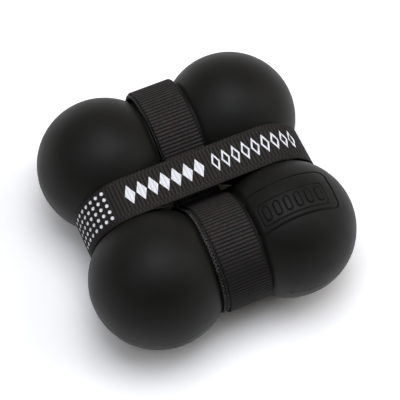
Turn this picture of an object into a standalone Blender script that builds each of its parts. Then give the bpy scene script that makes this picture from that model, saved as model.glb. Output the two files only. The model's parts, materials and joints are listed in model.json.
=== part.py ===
"""Four-ball spine massage roller: two hollow ball pairs in a webbing band, with a closing strap.

X runs along each ball pair and along the closing strap. Y runs along the band that joins the
pairs. Z is up, and the origin lies on the floor below the middle of the roller. Sizes are in
metres and angles in degrees.
"""

import math

import bmesh
import bpy
from mathutils import Vector

# Ball pairs.
BALL_R = 0.038
PAIR_PITCH = 0.0765            # between the two balls of one pair, along X
ROW_PITCH = 0.0777             # between the axes of the two pairs, along Y
SETTLE = 0.0002                # depth of the flat that the soft ball takes on the floor
NECK_FILLET_R = 0.012
WALL = 0.004
PARTING_DROP = 0.002           # parting line below the ball centres
LIP_HEIGHT = 0.0025            # locating lip of the lower shell, above the parting line
LIP_ROOT = 0.001               # how far the lip reaches down into its own shell
PAIR_SEGMENTS = 32
HOLLOW_SEGMENTS = 20
BALL_STEP = 9.0
HOLLOW_STEP = 15.0
NECK_STEPS = 6

# Webbing.
GAP = 0.0003                   # clearance between pieces that touch
WEB_WIDTH = 0.0244
BAND_PLY = 0.0013
STRAP_PLY = 0.0011
PATCH_PLY = 0.0009

# Band round the necks of the pairs.
INNER_PLY_R = 0.0278           # inside of the inner ply
INNER_PLY_X = -0.0002          # middle of the inner ply
OUTER_PLY_X = 0.00215          # middle of the outer ply, which sits a little to the right
OUTER_PLY_SKEW = 0.0148        # how far the outer ply was sewn on askew, per metre along Y
FAR_SLACK = 0.003              # the band stands off the far pair's end by this much
WEB_HALF = 0.0025              # half of the flat sewn web between the pairs
PINCH_R = 0.003                # bend of the outer ply where it rises from the sewn web
CUT_END_ANGLE = 83.5           # where the inner ply ends on the far pair, from the far end
ARC_STEP = 9.0

# Closing strap.
STRAP_R = 0.02735              # inside of the strap round its end circles
RIGHT_SLACK = 0.0013           # the strap stands off the right balls by this much
INNER_END = 0.80               # station where the strap's inner end starts (underside)
STEP_OUT = 0.55                # station where the outer layer starts to leave the inner one
TAB_ROOT_ANGLE = -60.0
TAB_TIP_ANGLE = -19.0
HINGE_GAP = 0.0012             # between the strap and the tab's own solid
TAB_CORNER_R = 0.004
LOOP_ANGLES = (-84.0, -12.0)
HOOK_ANGLES = (-56.0, -25.0)
LOOP_WIDTH = 0.0232
HOOK_WIDTH = 0.0190

# Sewing thread, one continuous line for each seam.
THREAD_WIDTH = 0.0006
THREAD_HEIGHT = 0.00035
THREAD_GAP = 0.0002
SEAM_INSET = 0.0011            # seam line to the edge of the piece it holds
ZIGZAG_COUNT = 9               # zigzags of the seam across the sewn web
ZIGZAG_HALF = 0.0018

AXIS_Z = BALL_R - SETTLE
HALF_PITCH = PAIR_PITCH / 2
HALF_ROW = ROW_PITCH / 2
RIGHT_END_X = HALF_PITCH + RIGHT_SLACK         # middle of the strap's right end circle
PARTING_Z = AXIS_Z - PARTING_DROP
PLY_STEP = BAND_PLY + GAP
OUTER_PLY_R = INNER_PLY_R + PLY_STEP
WEB_RISE = GAP / 2 + 1.5 * BAND_PLY + GAP      # middle of the outer ply above the band's centre
STRAP_MID_R = STRAP_R + STRAP_PLY / 2
LOOP_MID_R = STRAP_R + STRAP_PLY + GAP + PATCH_PLY / 2
HOOK_MID_R = LOOP_MID_R + PATCH_PLY + GAP
TAB_MID_R = HOOK_MID_R + PATCH_PLY / 2 + GAP + STRAP_PLY / 2


def clear_scene():
    for old in list(bpy.data.objects):
        bpy.data.objects.remove(old, do_unlink=True)


def make_material(name, rgb, roughness):
    material = bpy.data.materials.new(name)
    material.use_nodes = True
    shader = material.node_tree.nodes["Principled BSDF"]
    shader.inputs["Base Color"].default_value = (*rgb, 1.0)
    shader.inputs["Roughness"].default_value = roughness
    shader.inputs["Metallic"].default_value = 0.0
    return material


def add_object(name, bm, material=None, location=(0.0, 0.0, 0.0)):
    """Turn a bmesh into an object, with its faces pointing outwards."""
    bmesh.ops.recalc_face_normals(bm, faces=bm.faces)
    mesh = bpy.data.meshes.new(name)
    bm.to_mesh(mesh)
    bm.free()
    if material:
        mesh.materials.append(material)
    mesh.shade_smooth()
    mesh.set_sharp_from_angle(angle=math.radians(35.0))
    obj = bpy.data.objects.new(name, mesh)
    obj.location = location
    bpy.context.collection.objects.link(obj)
    return obj


def as_cutter(obj):
    obj.hide_render = True
    obj.display_type = "WIRE"
    return obj


def boolean(obj, operation, other):
    modifier = obj.modifiers.new(f"{operation.lower()}_{other.name}", "BOOLEAN")
    modifier.operation = operation
    modifier.solver = "EXACT"
    modifier.object = other


def block(name, low, high):
    """A box between two corners, used as a cutter."""
    bm = bmesh.new()
    bmesh.ops.create_cube(bm, size=1.0)
    size = Vector(high) - Vector(low)
    bmesh.ops.scale(bm, vec=size, verts=bm.verts)
    return as_cutter(add_object(name, bm, location=(Vector(high) + Vector(low)) / 2))


def arc(centre, radius, start, end, step):
    """Points on an arc from start to end, both included, no further apart than step."""
    count = max(1, round(abs(end - start) / step))
    points = []
    for i in range(count + 1):
        angle = math.radians(start + (end - start) * i / count)
        points.append((centre[0] + radius * math.cos(angle), centre[1] + radius * math.sin(angle)))
    return points


# Ball pairs


def add_ledge(points, edge, ledge_r):
    """Step one ball's outline down to ledge_r where the webbing's edge presses into it.

    The points run from the pole to the neck, with x as the distance from the pair's middle.
    """
    edge_r = math.sqrt(BALL_R ** 2 - (HALF_PITCH - edge) ** 2)
    meet = HALF_PITCH - math.sqrt(BALL_R ** 2 - ledge_r ** 2)
    outer = [p for p in points if p[0] > edge + GAP]
    inner = [p for p in points if p[0] < meet - GAP]
    return outer + [(edge, edge_r), (edge, ledge_r), (meet, ledge_r)] + inner


def outer_ply_x(y):
    """Middle of the outer ply, which runs a little askew."""
    return OUTER_PLY_X - OUTER_PLY_SKEW * y


def pair_profile(inset, step, outer_edge=None):
    """Outline (x, r) of a ball pair from pole to pole, moved inwards by inset.

    With outer_edge, the outer ply's right edge, the webbing's ledges are pressed into it.
    """
    rise = math.sqrt((BALL_R + NECK_FILLET_R) ** 2 - HALF_PITCH ** 2)
    meet = math.degrees(math.atan2(rise, HALF_PITCH))
    ball = arc((HALF_PITCH, 0.0), BALL_R - inset, 0.0, 90.0, step)
    ball += arc((HALF_PITCH, 0.0), BALL_R - inset, 90.0, 180.0 - meet, step)[1:]
    neck = arc((0.0, rise), NECK_FILLET_R + inset, 180.0 + meet, 360.0 - meet,
               (180.0 - 2 * meet) / NECK_STEPS)
    left = ball
    right = ball
    if outer_edge:
        left = add_ledge(ball, WEB_WIDTH / 2 - INNER_PLY_X + GAP, INNER_PLY_R - GAP)
        right = add_ledge(ball, outer_edge + GAP, OUTER_PLY_R - GAP)
    left = [(-x, r) for x, r in left]
    return left[:-1] + neck + right[-2::-1]


def revolve(profile, segments):
    """Turn an outline that starts and ends on the X axis into a closed solid."""
    bm = bmesh.new()
    first = bm.verts.new((profile[0][0], 0.0, 0.0))
    last = bm.verts.new((profile[-1][0], 0.0, 0.0))
    rings = []
    for x, r in profile[1:-1]:
        ring = []
        for i in range(segments):
            turn = 2 * math.pi * i / segments
            ring.append(bm.verts.new((x, r * math.cos(turn), r * math.sin(turn))))
        rings.append(ring)
    for i in range(segments):
        j = (i + 1) % segments
        bm.faces.new((first, rings[0][i], rings[0][j]))
        bm.faces.new((last, rings[-1][j], rings[-1][i]))
        for lower, upper in zip(rings, rings[1:]):
            bm.faces.new((lower[i], upper[i], upper[j], lower[j]))
    return bm


def make_pair(name, side, material, slabs):
    """Upper and lower shell of one pair, with a locating lip inside the parting line."""
    place = (0.0, side * HALF_ROW, AXIS_Z)
    half_gap = GAP / 2
    low_y = HALF_ROW - BALL_R if side > 0 else -HALF_ROW - BALL_R
    outside = pair_profile(0.0, BALL_STEP, outer_ply_x(low_y) + WEB_WIDTH / 2)
    hollow = as_cutter(add_object(f"{name}_hollow", revolve(pair_profile(WALL, HOLLOW_STEP),
                                                            HOLLOW_SEGMENTS), location=place))
    lip = as_cutter(add_object(f"{name}_lip", revolve(
        pair_profile(WALL / 2 + half_gap, HOLLOW_STEP), HOLLOW_SEGMENTS), location=place))
    boolean(lip, "DIFFERENCE", slabs["above_lip"])
    boolean(lip, "DIFFERENCE", slabs["below_lip"])
    rebate = as_cutter(add_object(f"{name}_rebate", revolve(
        pair_profile(WALL / 2 - half_gap, HOLLOW_STEP), HOLLOW_SEGMENTS), location=place))
    boolean(rebate, "DIFFERENCE", slabs["above_rebate"])

    upper = add_object(f"{name}_upper_shell", revolve(outside, PAIR_SEGMENTS), material, place)
    boolean(upper, "DIFFERENCE", slabs["below_parting"])
    boolean(upper, "DIFFERENCE", hollow)
    boolean(upper, "DIFFERENCE", rebate)

    lower = add_object(f"{name}_lower_shell", revolve(outside, PAIR_SEGMENTS), material, place)
    boolean(lower, "DIFFERENCE", slabs["above_parting"])
    boolean(lower, "UNION", lip)
    boolean(lower, "DIFFERENCE", hollow)
    boolean(lower, "DIFFERENCE", slabs["floor"])


def make_slabs():
    """Boxes that split the ball pairs at the heights of the parting line, lip and floor."""
    reach = 0.1
    top = 0.1
    lip_top = PARTING_Z + LIP_HEIGHT
    heights = {
        "below_parting": (-0.01, PARTING_Z + GAP / 2),
        "above_parting": (PARTING_Z - GAP / 2, top),
        "below_lip": (-0.01, PARTING_Z - LIP_ROOT),
        "above_lip": (lip_top, top),
        "above_rebate": (lip_top + GAP, top),
        "floor": (-0.01, 0.0),
    }
    slabs = {}
    for name, (low, high) in heights.items():
        slabs[name] = block(f"slab_{name}", (-reach, -reach, low), (reach, reach, high))
    return slabs


# Webbing


def ribbon(path, thickness, widths, middles, across):
    """Closed solid of webbing along a path of (u, z) points, each with its width and middle.

    across is "Y" when the path runs in the XZ plane and "X" when it runs in the YZ plane.
    """
    bm = bmesh.new()
    rows = []
    for i, point in enumerate(path):
        here = Vector(point)
        before = Vector(path[max(i - 1, 0)])
        after = Vector(path[min(i + 1, len(path) - 1)])
        into = (here - before).normalized() if i else (after - here).normalized()
        out = (after - here).normalized() if i < len(path) - 1 else into
        along = (into + out).normalized()
        normal = Vector((-along.y, along.x)) * (thickness / 2 / max(along.dot(into), 0.5))
        row = []
        for side, face in ((-1, -1), (1, -1), (1, 1), (-1, 1)):
            u, z = here + normal * face
            w = middles[i] + side * widths[i] / 2
            row.append(bm.verts.new((u, w, z) if across == "Y" else (w, u, z)))
        rows.append(row)
    for near, far in zip(rows, rows[1:]):
        for i in range(4):
            j = (i + 1) % 4
            bm.faces.new((near[i], near[j], far[j], far[i]))
    bm.faces.new(rows[0])
    bm.faces.new(rows[-1][::-1])
    return bm


def shift_up(path):
    """Move a path drawn about the ball centres to its height above the floor."""
    return [(u, z + AXIS_Z) for u, z in path]


def shift_to_origin(bm, point):
    bmesh.ops.translate(bm, vec=-Vector(point), verts=bm.verts)
    return bm


def band_quarter(drop, slack):
    """Upper far quarter of the band, from the sewn web to the far end.

    drop is how far the ply lies inside the outer one, and slack how far the end stands off.
    """
    pinch = (WEB_HALF, WEB_RISE + PINCH_R)
    round_r = OUTER_PLY_R + BAND_PLY / 2
    span = Vector((HALF_ROW, 0.0)) - Vector(pinch)
    lean = math.degrees(math.atan2(span.y, span.x))
    slope = lean + math.degrees(math.asin((round_r + PINCH_R) / span.length))
    rise = arc(pinch, PINCH_R + drop, -90.0, slope - 90.0, 2 * ARC_STEP)
    over = arc((HALF_ROW, 0.0), round_r - drop, slope + 90.0, 90.0, ARC_STEP)
    end = arc((HALF_ROW + slack, 0.0), round_r - drop, 90.0, 0.0, ARC_STEP)
    return rise + over + (end if slack else end[1:])


def flip(path, y_sign, z_sign):
    return [(y_sign * y, z_sign * z) for y, z in path]


def make_band(material, thread):
    """Outer and inner ply, and the rows of stitches through the sewn web."""
    far = band_quarter(0.0, FAR_SLACK)
    near = band_quarter(0.0, 0.0)
    butt = [(GAP, far[0][1])]
    outer = (flip(butt + far, 1, -1) + flip(far[-2::-1], 1, 1)
             + flip(near, -1, 1) + flip((butt + near)[-2::-1], -1, -1))
    middles = [outer_ply_x(y) for y, z in outer]
    bm = ribbon(shift_up(outer), BAND_PLY, [WEB_WIDTH] * len(outer), middles, "X")
    add_object("band_outer_ply", bm, material)

    far = band_quarter(PLY_STEP, FAR_SLACK)
    near = band_quarter(PLY_STEP, 0.0)
    round_r = INNER_PLY_R + BAND_PLY / 2
    cut = arc((HALF_ROW + FAR_SLACK, 0.0), round_r, CUT_END_ANGLE, 0.0, ARC_STEP)
    inner = (cut + flip(far[-2::-1], 1, -1) + flip(near, -1, -1)
             + flip(near[-2::-1], -1, 1) + [near[0]])
    middles = [INNER_PLY_X] * len(inner)
    bm = ribbon(shift_up(inner), BAND_PLY, [WEB_WIDTH] * len(inner), middles, "X")
    add_object("band_inner_ply", bm, material)

    height = WEB_RISE + BAND_PLY / 2 + THREAD_GAP + THREAD_HEIGHT / 2
    reach = WEB_WIDTH / 2 - SEAM_INSET
    for name, face in (("band_needle_thread", 1), ("band_bobbin_thread", -1)):
        points = []
        for i in range(2 * ZIGZAG_COUNT + 1):
            x = outer_ply_x(0.0) + reach * (i / ZIGZAG_COUNT - 1)
            points.append((x, ZIGZAG_HALF * (-1) ** i, AXIS_Z + face * height))
        bm = sweep_thread(points, [(0, 0, face)] * len(points), False)
        add_object(name, bm, thread)


def sweep_thread(points, outs, closed):
    """A line of thread along points that lie on a surface, with the surface's normals."""
    bm = bmesh.new()
    rows = []
    count = len(points)
    for i in range(count):
        here = Vector(points[i])
        before = Vector(points[(i - 1) % count]) if closed or i else here
        after = Vector(points[(i + 1) % count]) if closed or i < count - 1 else here
        into = (here - before).normalized()
        out_of = (after - here).normalized()
        along = (into + out_of).normalized()
        face = Vector(outs[i]).normalized()
        mitre = max(along.dot(out_of if after != here else into), 0.3)
        across = along.cross(face).normalized() * (THREAD_WIDTH / 2 / mitre)
        row = []
        for side, level in ((-1, -1), (1, -1), (1, 1), (-1, 1)):
            row.append(bm.verts.new(here + across * side + face * (level * THREAD_HEIGHT / 2)))
        rows.append(row)
    links = list(zip(rows, rows[1:]))
    if closed:
        links.append((rows[-1], rows[0]))
    else:
        bm.faces.new(rows[0])
        bm.faces.new(rows[-1][::-1])
    for near, far in links:
        for i in range(4):
            j = (i + 1) % 4
            bm.faces.new((near[i], near[j], far[j], far[i]))
    return bm


# Closing strap


def strap_point(station, r):
    """Point of the closing strap's loop at radius r about its end circles.

    Stations 0 to 1 run along the underside, 1 to 2 up round the right end, 2 to 3 back along
    the top and 3 to 4 down round the left end.
    """
    side = int(station)
    part = station - side
    span = HALF_PITCH + RIGHT_END_X
    if side == 0:
        return (span * part - HALF_PITCH, -r)
    if side == 2:
        return (RIGHT_END_X - span * part, r)
    middle = RIGHT_END_X if side == 1 else -HALF_PITCH
    angle = math.radians((-90.0 if side == 1 else 90.0) + 180.0 * part)
    return (middle + r * math.cos(angle), r * math.sin(angle))


def right_end(angle):
    """Station of an angle on the right end circle."""
    return 1.0 + (angle + 90.0) / 180.0


def strap_run(start, end, radius):
    """Points of the loop between two stations, with radius a function of the station."""
    steps = max(2, round((end - start) * 180.0 / ARC_STEP))
    stations = [start + (end - start) * i / steps for i in range(steps + 1)]
    return [strap_point(s, radius(s)) for s in stations]


def flat_radius(r):
    return lambda station: r


def stepped_radius(station):
    """Radius of the outer layer, which eases out over the inner end and the patches."""
    part = (station - STEP_OUT) / (right_end(TAB_ROOT_ANGLE) - STEP_OUT)
    part = min(max(part, 0.0), 1.0)
    return STRAP_MID_R + (TAB_MID_R - STRAP_MID_R) * part * part * (3 - 2 * part)


def layer_start(mid_r, thickness):
    """First station where the outer layer leaves room for a layer at mid_r."""
    station = STEP_OUT
    room = thickness / 2 + STRAP_PLY / 2 + GAP
    while stepped_radius(station) - mid_r < room:
        station += 0.005
    return station


def hinge_point():
    x, z = strap_point(right_end(TAB_ROOT_ANGLE), TAB_MID_R)
    return (x, 0.0, z + AXIS_Z)


def make_closing_strap(material):
    """One turn of webbing whose outer end lies over its own inner end, up to the tab's root."""
    root_gap = math.degrees(HINGE_GAP / 2 / TAB_MID_R)
    inner_start = max(INNER_END, layer_start(STRAP_MID_R, STRAP_PLY))
    flat = flat_radius(STRAP_MID_R)
    path = strap_run(inner_start, 1.0, flat)
    path += strap_run(1.0, 2.0, flat)[1:]
    path += [strap_point(2.999, STRAP_MID_R)]
    path += strap_run(3.0, 3.999, flat)
    path += strap_run(STEP_OUT, 1.0, stepped_radius)
    path += strap_run(1.0, right_end(TAB_ROOT_ANGLE - root_gap), stepped_radius)[1:]
    bm = ribbon(shift_up(path), STRAP_PLY, [WEB_WIDTH] * len(path), [0.0] * len(path), "Y")
    add_object("closing_strap", bm, material)


def tab_widths(path):
    """Webbing width for each point of the tab, with round corners at its free end."""
    tip = Vector(path[-1])
    widths = []
    for point in path:
        left = TAB_CORNER_R - (Vector(point) - tip).length
        cut = TAB_CORNER_R - math.sqrt(TAB_CORNER_R ** 2 - max(left, 0.0) ** 2)
        widths.append(WEB_WIDTH - 2 * cut)
    return widths


def make_tab(material):
    root_gap = math.degrees(HINGE_GAP / 2 / TAB_MID_R)
    corner = math.degrees(TAB_CORNER_R / TAB_MID_R)
    straight = arc((RIGHT_END_X, 0.0), TAB_MID_R, TAB_ROOT_ANGLE + root_gap,
                   TAB_TIP_ANGLE - corner, ARC_STEP)
    rounded = arc((RIGHT_END_X, 0.0), TAB_MID_R, TAB_TIP_ANGLE - corner, TAB_TIP_ANGLE, corner / 4)
    path = straight[:-1] + rounded
    bm = ribbon(shift_up(path), STRAP_PLY, tab_widths(path), [0.0] * len(path), "Y")
    add_object("closing_tab", shift_to_origin(bm, hinge_point()), material, hinge_point())


def patch_path(angles, mid_r):
    return arc((RIGHT_END_X, 0.0), mid_r, angles[0], angles[1], ARC_STEP)


def make_patches(loop_material, hook_material):
    path = patch_path(LOOP_ANGLES, LOOP_MID_R)
    bm = ribbon(shift_up(path), PATCH_PLY, [LOOP_WIDTH] * len(path), [0.0] * len(path), "Y")
    add_object("loop_patch", bm, loop_material)

    path = patch_path(HOOK_ANGLES, HOOK_MID_R)
    bm = ribbon(shift_up(path), PATCH_PLY, [HOOK_WIDTH] * len(path), [0.0] * len(path), "Y")
    add_object("hook_patch", shift_to_origin(bm, hinge_point()), hook_material, hinge_point())


def frame_seam(angles, width, surface_r):
    """A closed seam line round a patch on the right end circle."""
    r = surface_r + THREAD_GAP + THREAD_HEIGHT / 2
    inset = math.degrees(SEAM_INSET / r)
    side = arc((0.0, 0.0), r, angles[0] + inset, angles[1] - inset, ARC_STEP)
    points = []
    for y, run in ((width / 2 - SEAM_INSET, side), (SEAM_INSET - width / 2, side[::-1])):
        points += [(u, y, z) for u, z in run]
    outs = [(u, 0.0, z) for u, y, z in points]
    points = [(u + RIGHT_END_X, y, z + AXIS_Z) for u, y, z in points]
    return sweep_thread(points, outs, True)


def make_patch_stitching(material):
    bm = frame_seam(LOOP_ANGLES, LOOP_WIDTH, LOOP_MID_R + PATCH_PLY / 2)
    add_object("loop_patch_stitching", bm, material)
    bm = frame_seam(HOOK_ANGLES, HOOK_WIDTH, TAB_MID_R + STRAP_PLY / 2)
    add_object("hook_patch_stitching", shift_to_origin(bm, hinge_point()), material, hinge_point())


def main():
    clear_scene()
    shell = make_material("moulded_rubber", (0.012, 0.012, 0.012), 0.55)
    webbing = make_material("ribbed_webbing", (0.016, 0.014, 0.014), 0.75)
    thread = make_material("sewing_thread", (0.02, 0.018, 0.018), 0.6)
    loop_tape = make_material("loop_tape", (0.015, 0.014, 0.014), 0.95)
    hook_tape = make_material("hook_tape", (0.012, 0.012, 0.012), 0.5)
    slabs = make_slabs()
    make_pair("far_pair", 1, shell, slabs)
    make_pair("near_pair", -1, shell, slabs)
    make_band(webbing, thread)
    make_closing_strap(webbing)
    make_tab(webbing)
    make_patches(loop_tape, hook_tape)
    make_patch_stitching(thread)


main()
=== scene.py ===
import json
import math

import bmesh
import bpy
from mathutils import Matrix, Vector
from mathutils.geometry import tessellate_polygon


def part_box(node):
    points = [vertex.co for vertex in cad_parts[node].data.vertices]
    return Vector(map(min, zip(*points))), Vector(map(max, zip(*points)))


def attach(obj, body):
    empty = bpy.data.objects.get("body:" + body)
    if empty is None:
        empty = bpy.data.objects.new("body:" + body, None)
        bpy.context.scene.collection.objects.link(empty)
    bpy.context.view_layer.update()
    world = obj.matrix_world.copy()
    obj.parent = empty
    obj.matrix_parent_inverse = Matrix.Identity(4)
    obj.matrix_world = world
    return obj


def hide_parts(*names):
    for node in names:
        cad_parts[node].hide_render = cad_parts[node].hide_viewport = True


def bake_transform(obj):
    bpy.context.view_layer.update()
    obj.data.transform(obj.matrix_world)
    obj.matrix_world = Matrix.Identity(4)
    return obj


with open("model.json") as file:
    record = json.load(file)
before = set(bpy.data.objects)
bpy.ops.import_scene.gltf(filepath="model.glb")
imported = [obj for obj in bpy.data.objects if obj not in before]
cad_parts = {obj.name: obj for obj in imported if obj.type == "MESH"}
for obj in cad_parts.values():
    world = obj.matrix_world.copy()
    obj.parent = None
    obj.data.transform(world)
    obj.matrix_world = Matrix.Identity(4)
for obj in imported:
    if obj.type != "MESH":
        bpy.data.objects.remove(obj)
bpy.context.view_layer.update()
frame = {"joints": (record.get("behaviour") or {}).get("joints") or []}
scene = bpy.context.scene
mm = 0.001


# Sizes that the frame gives

def jointPoint(name):
    return Vector(next(joint for joint in frame["joints"] if joint["name"] == name)["pos_m"])


farAxis = jointPoint("far_pair_turn")
hinge = jointPoint("free_end_peel")
axisZ = farAxis.z                                     # height of the ball centres
halfRow = farAxis.y                                   # pair axis to the middle of the roller
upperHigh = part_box("far_pair_upper_shell")[1]
ballR = upperHigh.z - axisZ
halfPitch = upperHigh.x - ballR                       # ball centre to the middle of its pair
outerLow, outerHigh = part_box("band_outer_ply")
innerLow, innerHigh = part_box("band_inner_ply")
strapLow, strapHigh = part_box("closing_strap")
webWidth = strapHigh.y - strapLow.y
outerPlyX = (outerLow.x + outerHigh.x) / 2
innerPlyX = (innerLow.x + innerHigh.x) / 2
outerPlyR = -outerLow.y - halfRow                     # outside of the outer ply
innerPlyR = -innerLow.y - halfRow                     # outside of the inner ply
farSlack = outerHigh.y - halfRow - outerPlyR          # how far the band stands off the far end
strapOuterR = -strapLow.x - halfPitch                 # outside of the strap's single layer


# Nodes, colours and pieces

def linear(hexColour):
    channels = [int(hexColour[i:i + 2], 16) / 255 for i in (1, 3, 5)]
    return [c / 12.92 if c <= 0.04045 else ((c + 0.055) / 1.055) ** 2.4 for c in channels] + [1.0]


def addNode(tree, kind, *inputs, **settings):
    # inputs fill the sockets in order, or those that a dictionary names; a node stands for its
    # first output, and a hex value for its colour; sockets that share a name go by number: a mix
    # node's two colours are 6 and 7, and a random value's least and most are 2 and 3
    node = tree.nodes.new(kind)
    for name, value in settings.items():
        setattr(node, name, value)
    for i, given in enumerate(inputs):
        for key, value in (given if isinstance(given, dict) else {i: given}).items():
            if isinstance(value, bpy.types.Node):
                value = value.outputs[0]
            if isinstance(value, str) and value.startswith("#"):
                value = linear(value)
            if isinstance(value, bpy.types.NodeSocket):
                tree.links.new(value, node.inputs[key])
            else:
                node.inputs[key].default_value = value
    return node


def newPiece(name, bm, material=None):
    mesh = bpy.data.meshes.new(name)
    bm.to_mesh(mesh)
    bm.free()
    mesh.shade_smooth()
    if material:
        mesh.materials.append(material)
    obj = bpy.data.objects.new(name, mesh)
    scene.collection.objects.link(obj)
    return obj


def dress(obj, body, slotName, *nodes):
    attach(obj, body)
    if nodes:
        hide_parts(*nodes)


def arc(centre, radius, start, end, step=2.0):
    # points on an arc in degrees, both ends included
    count = max(2, round(abs(end - start) / step))
    points = []
    for i in range(count + 1):
        angle = math.radians(start + (end - start) * i / count)
        points.append((centre[0] + radius * math.cos(angle), centre[1] + radius * math.sin(angle)))
    return points


def smooth(t):
    t = min(max(t, 0.0), 1.0)
    return t * t * (3 - 2 * t)


# Camera, lamps and floor

cameraValues = {
    "azimuth": -23.0, "elevation": 61.2, "roll": -0.79,      # degrees
    "distance": 0.8198, "target": (0.00177, -0.00323), "lens": 133.06,
}

studioValues = {
    "floorColour": "#fafafa", "floorSize": 5.0, "floorLift": 1.34,
    "floorFade": (0.3, 1.1),                  # metres out, where the sweep turns into the backdrop
    # softboxes: direction, distance and size in metres, watts
    "softboxes": [((0.02, -0.02, 1.0), 1.25, 1.3, 4.5), ((0.10, 0.04, 1.0), 1.20, 0.7, 6.5),
                  ((0.7, -0.2, 0.6), 1.25, 0.8, 4.0), ((0.0, 0.6, 0.8), 1.25, 1.0, 1.2),
                  ((-0.6, 0.0, 0.8), 1.25, 1.0, 2.7)],
    "softboxColour": "#f7f9ff",
    # pale walls of the room: direction and strength
    "walls": [((1.0, 0.0, 0.0), 0.6), ((0.0, 1.0, 0.0), 0.30)], "wallColour": "#fff0d8",
    "backdropColour": "#ffffff", "backdropTop": (0.14, 0.28),        # height where it fades, as a sine
}


def makeCamera(values):
    azimuth, elevation, roll = (math.radians(values[k]) for k in ("azimuth", "elevation", "roll"))
    back = Vector((math.sin(azimuth) * math.cos(elevation),
                   -math.cos(azimuth) * math.cos(elevation), math.sin(elevation)))
    right = Vector((math.cos(azimuth), math.sin(azimuth), 0.0))
    turned = Matrix((right, back.cross(right), back)).transposed().to_4x4()
    data = bpy.data.cameras.new("camera")
    data.lens = values["lens"]
    camera = bpy.data.objects.new("camera", data)
    place = Vector((*values["target"], axisZ)) + back * values["distance"]
    camera.matrix_world = Matrix.Translation(place) @ turned @ Matrix.Rotation(roll, 4, "Z")
    scene.collection.objects.link(camera)
    scene.camera = camera
    scene.view_settings.view_transform = "Standard"


def emptyTree(owner):
    owner.use_nodes = True
    owner.node_tree.nodes.clear()
    return owner.node_tree


def seenRays(tree):
    # 1 for what the camera sees, straight or in gloss and glass, and 0 for light on the object
    ray = addNode(tree, "ShaderNodeLightPath").outputs
    seen = addNode(tree, "ShaderNodeMath", ray["Is Camera Ray"], ray["Is Glossy Ray"], operation="ADD")
    return addNode(tree, "ShaderNodeMath", seen, ray["Is Transmission Ray"], operation="ADD",
                   use_clamp=True)


def makePaper(values):
    # white paper sweep, brighter for the camera and in mirror images than for the light it gives
    # back to the object, as an overexposed backdrop is
    material = bpy.data.materials.new("paperSweep")
    tree = emptyTree(material)
    seen = seenRays(tree)
    paper = linear(values["floorColour"])
    lifted = [c * values["floorLift"] for c in paper[:3]] + [1.0]
    colour = addNode(tree, "ShaderNodeMix", seen, {6: paper, 7: lifted}, data_type="RGBA")
    matte = addNode(tree, "ShaderNodeBsdfDiffuse", colour.outputs[2])
    place = addNode(tree, "ShaderNodeTexCoord").outputs["Object"]
    reach = addNode(tree, "ShaderNodeVectorMath", place, operation="LENGTH").outputs["Value"]
    fade = addNode(tree, "ShaderNodeMapRange", reach, *values["floorFade"])
    shown = addNode(tree, "ShaderNodeMath", fade, seen, operation="MULTIPLY")
    white = addNode(tree, "ShaderNodeEmission", values["backdropColour"], 1.0)
    paint = addNode(tree, "ShaderNodeMixShader", shown, matte, white)
    addNode(tree, "ShaderNodeOutputMaterial", paint)
    return material


def makeStudio(values):
    # large softboxes overhead, in a dark room with a low white backdrop all round, which is only
    # seen, and pale walls on the right and at the back
    scene.world = bpy.data.worlds.new("studio")
    tree = emptyTree(scene.world)
    view = addNode(tree, "ShaderNodeTexCoord").outputs["Generated"]
    strength = 0.0
    for direction, bright in values["walls"]:
        facing = addNode(tree, "ShaderNodeVectorMath", view, direction, operation="DOT_PRODUCT")
        ahead = addNode(tree, "ShaderNodeMath", facing.outputs["Value"], 0.0, operation="MAXIMUM")
        square = addNode(tree, "ShaderNodeMath", ahead, 2.0, operation="POWER")
        strength = addNode(tree, "ShaderNodeMath", square, bright, strength, operation="MULTIPLY_ADD")
    height = addNode(tree, "ShaderNodeSeparateXYZ", view).outputs["Z"]
    backdrop = addNode(tree, "ShaderNodeMapRange", height, *values["backdropTop"], 1.0, 0.0)
    shown = addNode(tree, "ShaderNodeMath", backdrop, seenRays(tree), operation="MULTIPLY")
    colour = addNode(tree, "ShaderNodeMix", shown, {6: values["wallColour"],
                     7: values["backdropColour"]}, data_type="RGBA").outputs[2]
    bright = addNode(tree, "ShaderNodeMath", shown, strength, operation="MAXIMUM")
    addNode(tree, "ShaderNodeOutputWorld", addNode(tree, "ShaderNodeBackground", colour, bright))

    for towards, distance, size, power in values["softboxes"]:
        data = bpy.data.lights.new("softbox", "AREA")
        data.shape = "SQUARE"
        data.size = size
        data.energy = power
        data.color = linear(values["softboxColour"])[:3]
        lamp = bpy.data.objects.new("softbox", data)
        direction = Vector(towards).normalized()
        lamp.location = Vector((0, 0, axisZ)) + direction * distance
        lamp.rotation_euler = direction.to_track_quat("Z", "Y").to_euler()
        scene.collection.objects.link(lamp)

    bm = bmesh.new()
    bmesh.ops.create_grid(bm, x_segments=2, y_segments=2, size=values["floorSize"] / 2)
    floor = newPiece("floor", bm, makePaper(values))


# Materials

def newMaterial(name, hexColour, roughness, fixed):
    material = bpy.data.materials.new(name)
    tree = emptyTree(material)
    shader = addNode(tree, "ShaderNodeBsdfPrincipled", {"Base Color": hexColour,
                     "Roughness": roughness}, fixed)
    addNode(tree, "ShaderNodeOutputMaterial", shader)
    return material, tree, shader


def addPattern(tree, shader, colour, height, depth, strength=1.0, invert=False):
    # the pattern's colour, and its relief of that depth
    bump = addNode(tree, "ShaderNodeBump", {"Height": height, "Distance": depth,
                   "Strength": strength}, invert=invert)
    tree.links.new(colour, shader.inputs["Base Color"])
    tree.links.new(bump.outputs[0], shader.inputs["Normal"])


rubberValues = {
    "colour": "#131311", "paleColour": "#171715",            # moulded black, and its slight bloom
    "roughness": (0.46, 0.54), "specular": 0.155, "bloomRange": (0.3, 0.7),
    "bloomSize": 14 * mm, "grainSize": 0.35 * mm, "grainDepth": 0.012 * mm,
}


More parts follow.
